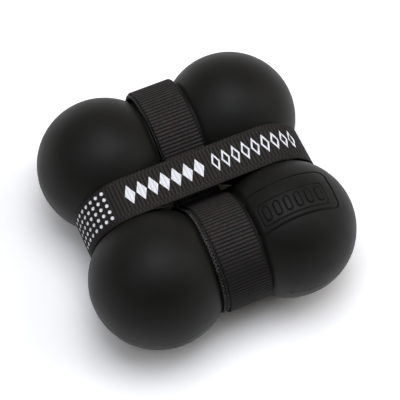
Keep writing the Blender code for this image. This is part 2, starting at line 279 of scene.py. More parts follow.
def makeRubber(values):
    # thermoplastic elastomer, moulded in a fine satin tool: soft broad highlights, no mirror image
    material, tree, shader = newMaterial("mouldedElastomer", values["colour"], values["roughness"][0],
                                         {"Specular IOR Level": values["specular"]})
    place = addNode(tree, "ShaderNodeTexCoord").outputs["Object"]
    bloom, grain = (addNode(tree, "ShaderNodeTexNoise", {"Vector": place, "Scale": 1 / size,
                            "Detail": detail})
                    for size, detail in ((values["bloomSize"], 4.0), (values["grainSize"], 2.0)))
    colour = addNode(tree, "ShaderNodeMix", bloom, {6: values["colour"], 7: values["paleColour"]},
                     data_type="RGBA").outputs[2]
    satin = addNode(tree, "ShaderNodeMapRange", bloom, *values["bloomRange"], *values["roughness"])
    tree.links.new(satin.outputs[0], shader.inputs["Roughness"])
    addPattern(tree, shader, colour, grain, values["grainDepth"])
    return material


webbingValues = {
    # the darker colour is painted shade for the creases between ribs and strands, the dark edges and the
    # steep ends
    "yarnColour": "#443c3b", "paintedShadeColour": "#121010", "inkColour": "#f0f1f6",
    "roughness": 0.55, "specular": 0.1,
    "ribPitch": 2.03 * mm, "yarnPitch": 0.42 * mm, "yarnDepth": 0.08 * mm, "yarnRelief": 0.9,
    "ribLight": (0.30, 0.90), "strandLight": (0.1, 0.7, 0.6),   # from, to, least light between yarns
    "darkestYarn": 0.55,                                      # yarns differ by chance
    # edgeShade is painted shade along the webbing's edge
    "selvedge": 2.2 * mm, "edgeShade": (0.7 * mm, 0.85),      # border weave, and its darker edge
    "borderShift": 1.1 * mm, "borderTurn": 0.0,               # the border shows on one edge only
    "steepShade": (0.30, 0.80, 0.20),                              # painted shade where the webbing faces sideways, on the steep ends
    "fadedColour": "#3c3d3b", "fadedSize": 5 * mm, "fadedRange": (0.35, 0.65),    # uneven dye
    "inkCover": (0.1, 0.45, 0.7, 1.0),                        # the ink is thinner in the creases
}

# the printed strap is pulled flatter, and the inner ply's chained border lies in painted shade
strapLook = {"yarnColour": "#3d3636", "fadedColour": "#383836", "paintedShadeColour": "#1c1918",
             "ribPitch": 2.1 * mm, "edgeShade": (1.6 * mm, 0.5), "borderShift": -0.7 * mm,
             "borderTurn": 0.5, "steepShade": (0.15, 0.80, 0.05)}

innerLook = {"edgeShade": (2.3 * mm, 0.96), "borderShift": 0.0, "borderTurn": 0.5}

printValues = {
    "middle": 0.8 * mm, "halfHeight": 6.1 * mm,
    # rows of lozenges: from, to, how many, half width, line as a share of the whole width
    "lozenges": [(-40.6 * mm, 6.4 * mm, 7, 3.0 * mm, 1.0), (9.9 * mm, 62.7 * mm, 9, 2.5 * mm, 0.21)],
    "dotStart": -81 * mm, "dotColumns": 8, "dotRows": 5, "dotPitch": 4.0 * mm, "dotR": 1.05 * mm,
}


def printedMask(tree, values, along, across, side):
    # a plain screen print: solid lozenges, outlined lozenges and a field of dots
    def between(value, low, high):
        above = addNode(tree, "ShaderNodeMath", value, low, operation="GREATER_THAN")
        below = addNode(tree, "ShaderNodeMath", value, high, operation="LESS_THAN")
        return addNode(tree, "ShaderNodeMath", above, below, operation="MULTIPLY")

    def repeat(value, low, pitch):
        # distance from the middle of the nearest repeat
        for operation, number in (("SUBTRACT", low), ("DIVIDE", pitch), ("FRACT", 0.0),
                                  ("SUBTRACT", 0.5), ("MULTIPLY", pitch), ("ABSOLUTE", 0.0)):
            value = addNode(tree, "ShaderNodeMath", value, number, operation=operation)
        return value

    offset = addNode(tree, "ShaderNodeMath", across, values["middle"], operation="SUBTRACT")
    height = addNode(tree, "ShaderNodeMath", offset, operation="ABSOLUTE")
    share = addNode(tree, "ShaderNodeMath", height, values["halfHeight"], operation="DIVIDE")
    shapes = []
    for low, high, count, half, line in values["lozenges"]:
        away = repeat(along, low, (high - low) / count)
        flat = addNode(tree, "ShaderNodeMath", away, half, operation="DIVIDE")
        total = addNode(tree, "ShaderNodeMath", flat, share, operation="ADD")
        shapes.append((between(total, 1.0 - 2 * line, 1.0), between(along, low, high)))

    low, pitch = values["dotStart"], values["dotPitch"]
    halfField = values["dotRows"] * pitch / 2
    point = addNode(tree, "ShaderNodeCombineXYZ", repeat(along, low, pitch),
                    repeat(across, values["middle"] - halfField, pitch))
    reach = addNode(tree, "ShaderNodeVectorMath", point, operation="LENGTH").outputs["Value"]
    shapes.append((between(reach, -1.0, values["dotR"]), between(height, -1.0, halfField),
                   between(along, low, low + values["dotColumns"] * pitch)))

    outside = addNode(tree, "ShaderNodeMath", side, -0.5, operation="LESS_THAN")
    printed = 0.0
    for factors in shapes:
        mask = outside
        for factor in factors:
            mask = addNode(tree, "ShaderNodeMath", mask, factor, operation="MULTIPLY")
        printed = addNode(tree, "ShaderNodeMath", printed, mask, operation="MAXIMUM")
    return printed


def ridges(tree, turns):
    # one round ridge for each turn, 0 in the creases and 1 on the crests
    wave = addNode(tree, "ShaderNodeMath", turns, math.pi, operation="MULTIPLY")
    wave = addNode(tree, "ShaderNodeMath", wave, operation="SINE")
    return addNode(tree, "ShaderNodeMath", wave, operation="ABSOLUTE")


def makeWebbing(name, values, printed=None):
    # cross-ribbed polyester webbing: warp yarns float over thick weft cords, every other yarn on every
    # other rib;
    # the crests of the ribs are painted light and the creases between them are painted black as shade
    material, tree, shader = newMaterial(name, values["yarnColour"], values["roughness"],
                                         {"Specular IOR Level": values["specular"]})
    weave = addNode(tree, "ShaderNodeAttribute", attribute_name="weave").outputs["Vector"]
    along, across, side = addNode(tree, "ShaderNodeSeparateXYZ", weave).outputs

    edge = addNode(tree, "ShaderNodeMath", across, values["borderShift"], operation="ADD")
    edge = addNode(tree, "ShaderNodeMath", edge, operation="ABSOLUTE")
    border = addNode(tree, "ShaderNodeMath", edge, webWidth / 2 - values["selvedge"],
                     operation="GREATER_THAN")
    turns = addNode(tree, "ShaderNodeMath", along, values["ribPitch"], operation="DIVIDE")
    turns = addNode(tree, "ShaderNodeMath", border, values["borderTurn"], turns,
                    operation="MULTIPLY_ADD")
    ribIndex = addNode(tree, "ShaderNodeMath", turns, operation="FLOOR")
    rib = ridges(tree, turns)
    yarns = addNode(tree, "ShaderNodeMath", across, values["yarnPitch"], operation="DIVIDE")
    yarns = addNode(tree, "ShaderNodeMath", ribIndex, 0.5, yarns, operation="MULTIPLY_ADD")
    yarnIndex = addNode(tree, "ShaderNodeMath", yarns, operation="FLOOR")
    yarn = ridges(tree, yarns)
    yarnHeight = addNode(tree, "ShaderNodeMath", yarn, rib, operation="MULTIPLY")

    # painted light on the yarns, which painted shade takes away in the creases, between the strands, at the
    # dark edge and on the steep ends; chance varies the tone
    lit = addNode(tree, "ShaderNodeMapRange", rib, *values["ribLight"], 0.0, 1.0)
    strand = addNode(tree, "ShaderNodeMapRange", yarn, *values["strandLight"], 1.0)
    cell = addNode(tree, "ShaderNodeCombineXYZ", yarnIndex, ribIndex)
    chance = addNode(tree, "ShaderNodeTexWhiteNoise", {"Vector": cell}, noise_dimensions="2D")
    spread = addNode(tree, "ShaderNodeMapRange", chance, 0.0, 1.0, values["darkestYarn"], 1.0)
    reach, shade = values["edgeShade"]
    dim = addNode(tree, "ShaderNodeMapRange", edge, webWidth / 2 - reach, webWidth / 2, 1.0, 1.0 - shade)
    out = addNode(tree, "ShaderNodeAttribute", attribute_name="out").outputs["Vector"]
    place = addNode(tree, "ShaderNodeTexCoord").outputs["Object"]
    level = addNode(tree, "ShaderNodeVectorMath", place, (1.0, 1.0, 0.0), operation="MULTIPLY")
    level = addNode(tree, "ShaderNodeVectorMath", level, operation="NORMALIZE")
    outwards = addNode(tree, "ShaderNodeVectorMath", out, level, operation="DOT_PRODUCT").outputs["Value"]
    # painted shade: the webbing is darker where it faces sideways, as on the steep ends of the band
    low, high, least = values["steepShade"]
    paintedSteepShade = addNode(tree, "ShaderNodeMapRange", outwards, low, high, 1.0, least)
    for factor in (strand, spread, dim, paintedSteepShade):
        lit = addNode(tree, "ShaderNodeMath", lit, factor, operation="MULTIPLY")

    dye = addNode(tree, "ShaderNodeTexNoise", {"Vector": place, "Scale": 1 / values["fadedSize"]})
    dye = addNode(tree, "ShaderNodeMapRange", dye, *values["fadedRange"])
    dyed = addNode(tree, "ShaderNodeMix", dye, {6: values["yarnColour"], 7: values["fadedColour"]},
                   data_type="RGBA").outputs[2]
    colour = addNode(tree, "ShaderNodeMix", lit, {6: values["paintedShadeColour"], 7: dyed},
                     data_type="RGBA").outputs[2]
    if printed:
        mask = printedMask(tree, printed, along, across, side)
        cover = addNode(tree, "ShaderNodeMapRange", rib, *values["inkCover"])
        mask = addNode(tree, "ShaderNodeMath", mask, cover, operation="MULTIPLY")
        colour = addNode(tree, "ShaderNodeMix", mask, {6: colour, 7: values["inkColour"]},
                         data_type="RGBA").outputs[2]
    addPattern(tree, shader, colour, yarnHeight, values["yarnDepth"], values["yarnRelief"])
    return material


threadValues = {
    # colour, darker colour between the strands as painted shade, distance between painted glints, roughness
    # the two selvedge yarns are one yarn: a paler copy as painted light and a darker copy as painted shade
    "paintedLitSelvedgeYarn": ("#504c4a", "#2c2928", 0.847 * mm, 0.55),
    "paintedShadeSelvedgeYarn": ("#1f1d1c", "#0d0c0c", 0.847 * mm, 0.55),
    "spunPolyesterThread": ("#4a4644", "#1c1a19", 0.847 * mm, 0.55),
    "brushedNylonPile": ("#262322", "#131111", 0.605 * mm, 0.7),
    "nylonMonofilament": ("#1e1e1f", "#161617", 0.605 * mm, 0.35),
}


strandValues = {"sheen": 0.08, "unevenness": 1.5, "depth": 0.05 * mm}


def makeThread(name, colour, darkColour, glints, roughness):
    # spun thread: twisted strands, with short slanting glints painted as paler bands in the colour over a
    # matching relief
    values = strandValues
    material, tree, shader = newMaterial(name, colour, roughness, {"Sheen Weight": values["sheen"]})
    place = addNode(tree, "ShaderNodeTexCoord").outputs["Object"]
    # diagonal bands of a wave texture lie 0.363 apart at a scale of 1
    bands = addNode(tree, "ShaderNodeTexWave", {"Vector": place, "Scale": 0.363 / glints,
                    "Distortion": values["unevenness"], "Detail": 1.0},
                    bands_direction="DIAGONAL").outputs["Fac"]
    mixed = addNode(tree, "ShaderNodeMix", bands, {6: darkColour, 7: colour}, data_type="RGBA")
    addPattern(tree, shader, mixed.outputs[2], bands, values["depth"])
    return material


tapeValues = {"colour": "#242120", "darkColour": "#0c0b0b", "roughness": 0.8, "sheen": 0.2,
              "knit": 0.7 * mm, "unevenness": 0.35, "depth": 0.1 * mm}


def makeTape(name, values):
    # knitted nylon ground of the fastener tapes
    material, tree, shader = newMaterial(name, values["colour"], values["roughness"],
                                         {"Sheen Weight": values["sheen"]})
    weave = addNode(tree, "ShaderNodeAttribute", attribute_name="weave").outputs["Vector"]
    cells = addNode(tree, "ShaderNodeTexVoronoi", {"Vector": weave, "Scale": 1 / values["knit"],
                    "Randomness": values["unevenness"]}).outputs["Distance"]
    colour = addNode(tree, "ShaderNodeMix", cells, {6: values["colour"], 7: values["darkColour"]},
                     data_type="RGBA").outputs[2]
    addPattern(tree, shader, colour, cells, values["depth"], invert=True)
    return material


# Geometry node trees for what repeats

def startTree(name, *sizes):
    # a tree whose inputs are a shape, the named sizes, a seed and a material
    tree = bpy.data.node_groups.new(name, "GeometryNodeTree")
    kinds = {"Geometry": "Geometry", **dict.fromkeys(sizes, "Float"), "Seed": "Int",
             "Material": "Material"}
    for label, kind in kinds.items():
        tree.interface.new_socket(label, in_out="INPUT", socket_type=f"NodeSocket{kind}")
    tree.interface.new_socket("Geometry", in_out="OUTPUT", socket_type="NodeSocketGeometry")
    return tree, addNode(tree, "NodeGroupInput").outputs


def endTree(tree, geometry, material):
    real = addNode(tree, "GeometryNodeRealizeInstances", geometry)
    painted = addNode(tree, "GeometryNodeSetMaterial", {"Geometry": real, "Material": material})
    addNode(tree, "NodeGroupOutput", painted)
    return tree


def runTree(obj, tree, values):
    # put the tree's result into the object as a plain mesh
    modifier = obj.modifiers.new(tree.name, "NODES")
    modifier.node_group = tree
    for item in tree.interface.items_tree:
        if item.item_type == "SOCKET" and item.in_out == "INPUT" and item.name in values:
            modifier[item.identifier] = values[item.name]
    graph = bpy.context.evaluated_depsgraph_get()
    mesh = bpy.data.meshes.new_from_object(obj.evaluated_get(graph), preserve_all_data_layers=True,
                                           depsgraph=graph)
    obj.modifiers.remove(modifier)
    obj.data = mesh
    mesh.name = obj.name
    return obj


def ribTree(values):
    # raises the webbing's ribs and the small bumps of its edges
    tree, given = startTree("webbingRibs", "Rib pitch", "Rib height", "Edge bump", "Half width",
                            "Selvedge", "Unevenness")
    weave, out = (addNode(tree, "GeometryNodeInputNamedAttribute", {"Name": label},
                          data_type="FLOAT_VECTOR") for label in ("weave", "out"))
    along, across, side = addNode(tree, "ShaderNodeSeparateXYZ", weave).outputs
    turns = addNode(tree, "ShaderNodeMath", along, given["Rib pitch"], operation="DIVIDE")
    crest = addNode(tree, "ShaderNodeMath", ridges(tree, turns), values["ribRoundness"],
                    operation="POWER")
    drop = addNode(tree, "ShaderNodeMath", crest, 1.0, operation="SUBTRACT")

    edgeAway = addNode(tree, "ShaderNodeMath", across, operation="ABSOLUTE")
    edgeAway = addNode(tree, "ShaderNodeMath", given["Half width"], edgeAway, operation="SUBTRACT")
    inside = addNode(tree, "ShaderNodeMapRange", edgeAway, 0.0, given["Selvedge"],
                     values["edgeRib"], 1.0, interpolation_type="SMOOTHSTEP")
    depth = addNode(tree, "ShaderNodeMath", given["Rib height"], inside, operation="MULTIPLY")
    face = addNode(tree, "ShaderNodeMath", drop, depth, operation="MULTIPLY")
    bump = addNode(tree, "ShaderNodeMath", drop, given["Edge bump"], operation="MULTIPLY")
    flat = addNode(tree, "ShaderNodeMath", side, operation="ABSOLUTE")
    lift = addNode(tree, "ShaderNodeMix", {"Factor": flat, "A": bump, "B": face})

    noise = addNode(tree, "ShaderNodeTexNoise", {"Vector": weave, "Scale": 1 / values["unevenSize"],
                    "Detail": 2.0})
    centred = addNode(tree, "ShaderNodeMath", noise, 0.5, operation="SUBTRACT")
    lift = addNode(tree, "ShaderNodeMath", centred, given["Unevenness"], lift, operation="MULTIPLY_ADD")
    move = addNode(tree, "ShaderNodeVectorMath", out, {"Scale": lift}, operation="SCALE")
    moved = addNode(tree, "GeometryNodeSetPosition", {"Geometry": given["Geometry"], "Offset": move})
    return endTree(tree, moved, given["Material"])


def stitchTree():
    # one plump stitch on every edge of a seam line
    tree, given = startTree("threadStitches", "Thread radius", "Fill")
    ends = addNode(tree, "GeometryNodeInputMeshEdgeVertices").outputs
    run = addNode(tree, "ShaderNodeVectorMath", ends["Position 2"], ends["Position 1"],
                  operation="SUBTRACT")
    marked = addNode(tree, "GeometryNodeStoreNamedAttribute", {"Geometry": given["Geometry"],
                     "Name": "stitch", "Value": run}, data_type="FLOAT_VECTOR", domain="EDGE")
    points = addNode(tree, "GeometryNodeMeshToPoints", {"Mesh": marked}, mode="EDGES")
    run = addNode(tree, "GeometryNodeInputNamedAttribute", {"Name": "stitch"}, data_type="FLOAT_VECTOR")
    length = addNode(tree, "ShaderNodeVectorMath", run, operation="LENGTH").outputs["Value"]
    half = addNode(tree, "ShaderNodeMath", length, given["Fill"], operation="MULTIPLY")
    turn = addNode(tree, "FunctionNodeAlignRotationToVector", {"Vector": run}, axis="Z")
    size = addNode(tree, "ShaderNodeCombineXYZ", given["Thread radius"], given["Thread radius"], half)
    bead = addNode(tree, "GeometryNodeMeshUVSphere", {"Segments": 8, "Rings": 6, "Radius": 1.0})
    placed = addNode(tree, "GeometryNodeInstanceOnPoints", {"Points": points, "Instance": bead,
                     "Rotation": turn, "Scale": size})
    return endTree(tree, placed, given["Material"])


def loopTree():
    # small arcs of thread that stand on points: woven loops, hooks, pile and loose fibres
    tree, given = startTree("standingLoops", "Loop radius", "Thread radius", "Start", "Sweep",
                            "Shift", "Turn", "Lean", "Variation")
    bend = addNode(tree, "GeometryNodeCurveArc", {"Resolution": 7, "Radius": given["Loop radius"],
                   "Start Angle": given["Start"], "Sweep Angle": given["Sweep"]}, mode="RADIUS")
    ring = addNode(tree, "GeometryNodeCurvePrimitiveCircle", {"Resolution": 5,
                   "Radius": given["Thread radius"]}, mode="RADIUS")
    tube = addNode(tree, "GeometryNodeCurveToMesh", {"Curve": bend, "Profile Curve": ring,
                   "Fill Caps": True})
    shift = addNode(tree, "ShaderNodeCombineXYZ", given["Shift"])
    upright = addNode(tree, "GeometryNodeTransform", {"Geometry": tube, "Translation": shift,
                      "Rotation": (math.pi / 2, 0.0, 0.0)})
    out, run = (addNode(tree, "GeometryNodeInputNamedAttribute", {"Name": label},
                        data_type="FLOAT_VECTOR") for label in ("out", "run"))
    turn = addNode(tree, "FunctionNodeAlignRotationToVector", {"Vector": out}, axis="Z")
    turn = addNode(tree, "FunctionNodeAlignRotationToVector", {"Rotation": turn, "Vector": run},
                   axis="X", pivot_axis="Z")
    high = addNode(tree, "ShaderNodeCombineXYZ", given["Lean"], given["Lean"], given["Turn"])
    low = addNode(tree, "ShaderNodeVectorMath", high, {"Scale": -1.0}, operation="SCALE")
    jitter = addNode(tree, "FunctionNodeRandomValue", low, high, {"Seed": given["Seed"]},
                     data_type="FLOAT_VECTOR")
    jitter = addNode(tree, "FunctionNodeEulerToRotation", jitter)
    turn = addNode(tree, "FunctionNodeRotateRotation", {"Rotation": turn, "Rotate By": jitter},
                   rotation_space="LOCAL")
    least = addNode(tree, "ShaderNodeMath", 1.0, given["Variation"], operation="SUBTRACT")
    most = addNode(tree, "ShaderNodeMath", 1.0, given["Variation"], operation="ADD")
    size = addNode(tree, "FunctionNodeRandomValue", {2: least, 3: most, "Seed": given["Seed"]},
                   data_type="FLOAT")
    placed = addNode(tree, "GeometryNodeInstanceOnPoints", {"Points": given["Geometry"],
                     "Instance": upright, "Rotation": turn, "Scale": size.outputs[1]})
    return endTree(tree, placed, given["Material"])


# Ball pairs

def outerX(y):
    # middle of the outer ply, which was sewn on a little askew
    return outerPlyX - plyValues["skew"] * y


pairValues = {
    "neckFillet": 12 * mm, "wall": 4 * mm, "partingDrop": 2 * mm,
    "pressFade": 2.4 * mm, "pressSteps": 8,                      # rubber pressed in by the webbing
    "segments": 128, "step": 2.5, "hollowSegments": 48, "hollowStep": 7.5,
    # parting line: gap and flash, which dies away near the neck
    "seamGap": 0.04 * mm, "flashWidth": 0.30 * mm, "flashHeight": 0.07 * mm, "flashSteps": 4,
    "flashStart": 17 * mm, "flashFade": 5 * mm,
}

panelValues = {
    "middle": (0.7 * mm, -0.8 * mm), "half": (23.3 * mm, 11.7 * mm), "corner": 4.2 * mm,
    "rise": 0.20 * mm, "riseWidth": 0.5 * mm,                            # edge step and its groove
    "depth": 0.92 * mm, "groove": 0.50 * mm,
    "field": (-0.1 * mm, -3.6 * mm), "fieldHalf": (18.8 * mm, 6.3 * mm), "fieldCorner": 2.4 * mm,
    "lineDepth": 0.56 * mm, "line": 0.36 * mm,
    "bars": 6, "barPitch": 6.05 * mm, "barHalf": (1.60 * mm, 4.1 * mm),
    "barRise": 0.25 * mm, "barEdge": 0.5 * mm, "outlineDepth": 0.68 * mm, "outline": 0.34 * mm,
    "mesh": 0.21 * mm, "meshMargin": (1.0 * mm, 1.2 * mm, 0.02),         # along, across, radians
}


def pairOutline(inset, step, rightEdge=None):
    # outline (x, r) of a pair from pole to pole, moved inwards by inset; with rightEdge, the
    # outer ply's right edge, the rubber is pressed in where the webbing runs
    v = pairValues
    rise = math.sqrt((ballR + v["neckFillet"]) ** 2 - halfPitch ** 2)
    meet = math.degrees(math.atan2(rise, halfPitch))
    ball = arc((halfPitch, 0.0), ballR - inset, 0.0, 90.0, step)
    ball += arc((halfPitch, 0.0), ballR - inset, 90.0, 180.0 - meet, step)[1:]
    neck = arc((0.0, rise), v["neckFillet"] + inset, 180.0 + meet, 360.0 - meet, 2 * step)
    left = right = ball
    if rightEdge:
        inside = plyValues["ply"] + plyValues["gap"]
        left = pressIn(ball, webWidth / 2 - innerPlyX, innerPlyR - inside)
        right = pressIn(ball, rightEdge, outerPlyR - inside)
    return [(-x, r) for x, r in left][:-1] + neck + right[-2::-1]


def pressIn(ball, edge, pressedR):
    # the ball's surface sinks softly where the edge of the webbing presses into it
    v = pairValues
    gap = plyValues["gap"]
    edge += gap
    meet = halfPitch - math.sqrt(ballR ** 2 - pressedR ** 2)
    outer = [p for p in ball if p[0] > edge + v["pressFade"] + gap]
    depth = math.sqrt(ballR ** 2 - (halfPitch - edge) ** 2) - pressedR
    step = []
    for i in range(v["pressSteps"] + 1):
        share = i / v["pressSteps"]
        x = edge + v["pressFade"] * (1 - share)
        step.append((x, math.sqrt(ballR ** 2 - (halfPitch - x) ** 2) - depth * smooth(share)))
    inner = [p for p in ball if p[0] < meet - gap]
    return outer + step + [((edge + meet) / 2, pressedR), (meet, pressedR)] + inner


def finer(outline, low, high, step):
    # add points on the right ball of an outline between two x, for the panel's mesh
    start = math.degrees(math.acos((high - halfPitch) / ballR))
    end = math.degrees(math.acos((low - halfPitch) / ballR))
    dense = arc((halfPitch, 0.0), ballR, end, start, math.degrees(step / ballR))
    before = [p for p in outline if p[0] < low - step]
    after = [p for p in outline if p[0] > high + step]
    return before + dense + after


def turned(outline, angles, centre):
    # surface made by turning an outline about the X axis through centre
    bm = bmesh.new()
    ends = [bm.verts.new(centre + Vector((outline[i][0], 0.0, 0.0))) for i in (0, -1)]
    rings = []
    for x, r in outline[1:-1]:
        rings.append([bm.verts.new(centre + Vector((x, r * math.cos(a), r * math.sin(a)))) for a in angles])
    for i in range(len(angles)):
        j = (i + 1) % len(angles)
        bm.faces.new((ends[0], rings[0][i], rings[0][j]))
        bm.faces.new((ends[1], rings[-1][j], rings[-1][i]))
        for near, far in zip(rings, rings[1:]):
            bm.faces.new((near[i], far[i], far[j], near[j]))
    return bm


def cutAt(bm, z, keep=0):
    # cut level at z; keep 1 leaves what is above, keep -1 what is below
    bmesh.ops.bisect_plane(bm, geom=bm.verts[:] + bm.edges[:] + bm.faces[:], dist=1e-7,
                           plane_co=(0, 0, z), plane_no=(0, 0, 1),
                           clear_inner=keep > 0, clear_outer=keep < 0)


def rimLoops(bm):
    # the open edges as loops of points in order
    loops = []
    seen = set()
    for edge in bm.edges:
        if edge in seen or not edge.is_boundary:
            continue
        first, here = edge.verts
        loop = [first]
        seen.add(edge)
        while here is not first:
            loop.append(here)
            edge = next(e for e in here.link_edges if e.is_boundary and e not in seen)
            seen.add(edge)
            here = edge.other_vert(here)
        loops.append(loop)
    return loops


def closeRim(bm):
    # flat rim between the outer and the hollow edge
    loops = rimLoops(bm)
    points = [vert for loop in loops for vert in loop]
    for corners in tessellate_polygon([[vert.co for vert in loop] for loop in loops]):
        bm.faces.new([points[i] for i in corners])


def boxAway(x, y, halfX, halfY, corner):
    # distance to a round-cornered rectangle, less than zero inside it
    px = abs(x) - halfX + corner
    py = abs(y) - halfY + corner
    return math.hypot(max(px, 0.0), max(py, 0.0)) + min(max(px, py), 0.0) - corner


def cut(away, depth, width):
    # drop of the surface in a groove with steep sides, at a distance from its middle line
    return depth * math.exp(-(away / width) ** 4)


def panelHeight(x, y):
    # moulded panel: a raised field with a groove round it, a fine frame and a row of plain bars
    v = panelValues
    away = boxAway(x - v["middle"][0], y - v["middle"][1], *v["half"], v["corner"])
    if away > 4 * v["groove"]:
        return 0.0                           # the groove has run out
    height = v["rise"] * smooth(0.5 - away / v["riseWidth"])
    height -= cut(away, v["depth"], v["groove"])
    x -= v["field"][0]
    y -= v["field"][1]
    inField = boxAway(x, y, *v["fieldHalf"], v["fieldCorner"])
    height -= cut(inField, v["lineDepth"], v["line"])
    middle = (math.floor(x / v["barPitch"]) + 0.5) * v["barPitch"]
    if abs(middle) < v["bars"] * v["barPitch"] / 2 and inField < 0:
        bar = boxAway(x - middle, y, *v["barHalf"], v["barHalf"][0])
        height += v["barRise"] * smooth(0.5 - bar / v["barEdge"])
        height -= cut(bar, v["outlineDepth"], v["outline"])
    return height


def panelMesh(outline, angles, clearX):
    # outline and angles with a fine mesh where the panel lies
    v = panelValues
    marginX, marginY, marginTurn = v["meshMargin"]
    high = halfPitch + v["middle"][0] + v["half"][0] + marginX
    outline = finer(outline, clearX + 2 * v["mesh"], high, v["mesh"])
    reachY = v["half"][1] + abs(v["middle"][1]) + marginY
    spread = math.asin(reachY / math.sqrt(ballR ** 2 - v["half"][0] ** 2))
    count = round(2 * spread * ballR / v["mesh"])
    dense = [math.pi / 2 + spread * (2 * i / count - 1) for i in range(count + 1)]
    return outline, sorted([a for a in angles if abs(a - math.pi / 2) > spread + marginTurn] + dense)


def pressPanel(bm, ball, pressedX):
    # the mould opens straight up, and the webbing presses flat what it touches
    for vert in bm.verts:
        offset = vert.co - ball
        if offset.z > 0 and offset.x > -ballR:
            height = panelHeight(offset.x, offset.y)
            clear = smooth((vert.co.x - pressedX) / pairValues["pressFade"])
            vert.co.z += min(height, height * clear)


def roundAngles(count):
    return [math.tau * i / count for i in range(count)]


def pairShell(name, side, upper, material, panel=False):
    v = pairValues
    centre = Vector((0.0, side * halfRow, axisZ))
    # the skew outer ply lies furthest right at the pair's near end
    webEdge = outerX(centre.y - ballR) + webWidth / 2
    pressedX = webEdge + plyValues["gap"]
    outline = pairOutline(0.0, v["step"], webEdge)
    angles = roundAngles(v["segments"])
    if panel:
        outline, angles = panelMesh(outline, angles, pressedX + v["pressFade"])
    bm = turned(outline, angles, centre)
    if panel:
        pressPanel(bm, centre + Vector((halfPitch, 0.0, 0.0)), pressedX)

    way = 1 if upper else -1
    rim = centre.z - v["partingDrop"] + way * v["seamGap"] / 2
    cutAt(bm, rim, way)
    for i in range(v["flashSteps"]):
        cutAt(bm, rim + way * v["flashWidth"] * (i + 1) / v["flashSteps"])
    for vert in bm.verts:
        away = abs(vert.co.z - rim) / v["flashWidth"]
        clear = smooth((abs(vert.co.x) - v["flashStart"]) / v["flashFade"])
        if away < 1.0 and clear > 0.0:
            outwards = vert.co - centre - Vector((math.copysign(halfPitch, vert.co.x), 0.0, 0.0))
            outwards.z = 0.0
            vert.co += outwards.normalized() * v["flashHeight"] * clear * (1 - smooth(away))
        vert.co.z = max(vert.co.z, 0.0)

    hollow = turned(pairOutline(v["wall"], v["hollowStep"]), roundAngles(v["hollowSegments"]), centre)
    cutAt(hollow, rim, way)
    wall = bpy.data.meshes.new("hollow")
    hollow.to_mesh(wall)
    hollow.free()
    bm.from_mesh(wall)
    bpy.data.meshes.remove(wall)
    closeRim(bm)
    bmesh.ops.recalc_face_normals(bm, faces=bm.faces)
    return newPiece(name, bm, material)


ventValues = {
    # on the parting line of the near right ball: distance right, distance up, half length
    "places": ((-13.65 * mm, -1.6 * mm, 1.2 * mm), (-4.4 * mm, -2.0 * mm, 1.0 * mm)),
    "half": 0.34 * mm, "lip": 0.10 * mm, "lift": 0.04 * mm,
    # the slit's colour is painted shade
    "colour": "#050505", "roughness": 0.9, "sides": 32, "lipSides": 6,
}


def makeVents(material):
    # two small vent slits where the halves of the ball meet, each with a fine lip; each slit is a flat dark
    # disc just above the surface, painted shade for the dark inside of an open slit
    v = ventValues
    shade = newMaterial("ventShade", v["colour"], v["roughness"], {"Specular IOR Level": 0.0})[0]
    centre = Vector((halfPitch, -halfRow, axisZ))
    lips = bmesh.new()
    slits = bmesh.new()
    for x, z, length in v["places"]:
        out = Vector((x, -math.sqrt(ballR ** 2 - x ** 2 - z ** 2), z)).normalized()
        along = Vector((-out.y, out.x, 0.0)).normalized()
        up = out.cross(along)
        rings = []
        floor = []
        for a in roundAngles(v["sides"]):
            way = (along * math.cos(a) * v["half"] + up * math.sin(a) * length).normalized()
            edge = centre + out * ballR + along * math.cos(a) * length + up * math.sin(a) * v["half"]
            rings.append([lips.verts.new(edge + (way * math.cos(b) + out * math.sin(b)) * v["lip"])
                          for b in roundAngles(v["lipSides"])])
            floor.append(slits.verts.new(edge + out * v["lift"]))
        slits.faces.new(floor)
        for i in range(v["sides"]):
            for k in range(v["lipSides"]):
                lips.faces.new((rings[i - 1][k - 1], rings[i][k - 1], rings[i][k], rings[i - 1][k]))
    bmesh.ops.recalc_face_normals(lips, faces=lips.faces)
    dress(newPiece("ventLips", lips, material), "near_pair", "shell")
    dress(newPiece("ventSlits", slits, shade), "near_pair", "shell")


# Webbing

plyValues = {
    "ply": 1.3 * mm, "strapPly": 1.1 * mm, "gap": 0.3 * mm, "skew": 0.0148,
    "webHalf": 2.5 * mm, "pinch": 3 * mm,                    # flat sewn web between the pairs
    "cutEnd": 83.5,                                          # where the inner ply ends, in degrees
    "ribRoundness": 0.6, "edgeRib": 0.45, "unevenSize": 1.6 * mm,     # ribs are lower at the edges
    "samples": 8, "acrossSteps": 16,
    "ribs": {"Rib height": 0.32 * mm, "Edge bump": 0.3 * mm, "Half width": webWidth / 2,
             "Selvedge": webbingValues["selvedge"], "Unevenness": 0.16 * mm},
}


def evenPath(points, step):
    # the same path with points a whole number of steps apart
    path = [Vector(p) for p in points]
    runs = [0.0]
    for a, b in zip(path, path[1:]):
        runs.append(runs[-1] + (b - a).length)
    count = round(runs[-1] / step)
    even = []
    k = 0
    for i in range(count + 1):
        want = runs[-1] * i / count
        while k < len(runs) - 2 and runs[k + 1] < want:
            k += 1
        part = (want - runs[k]) / (runs[k + 1] - runs[k])
        even.append(path[k].lerp(path[k + 1], part))
    return even, runs[-1] / count


def crossSection(width, thickness, steps):
    # points round the webbing's section as (across, up, outward across, outward up, side)
    flat = width / 2 - thickness / 2
    section = []
    for i in range(steps + 1):
        section.append((-flat + 2 * flat * i / steps, thickness / 2, 0.0, 1.0, 1.0))
    for i in (1, 2, 3):
        a = math.pi / 2 - math.pi * i / 4
        section.append((flat + math.cos(a) * thickness / 2, math.sin(a) * thickness / 2,
                        math.cos(a), math.sin(a), math.sin(a)))
    mirror = [(-u, -z, -du, -dz, -side) for u, z, du, dz, side in section]
    return section + mirror


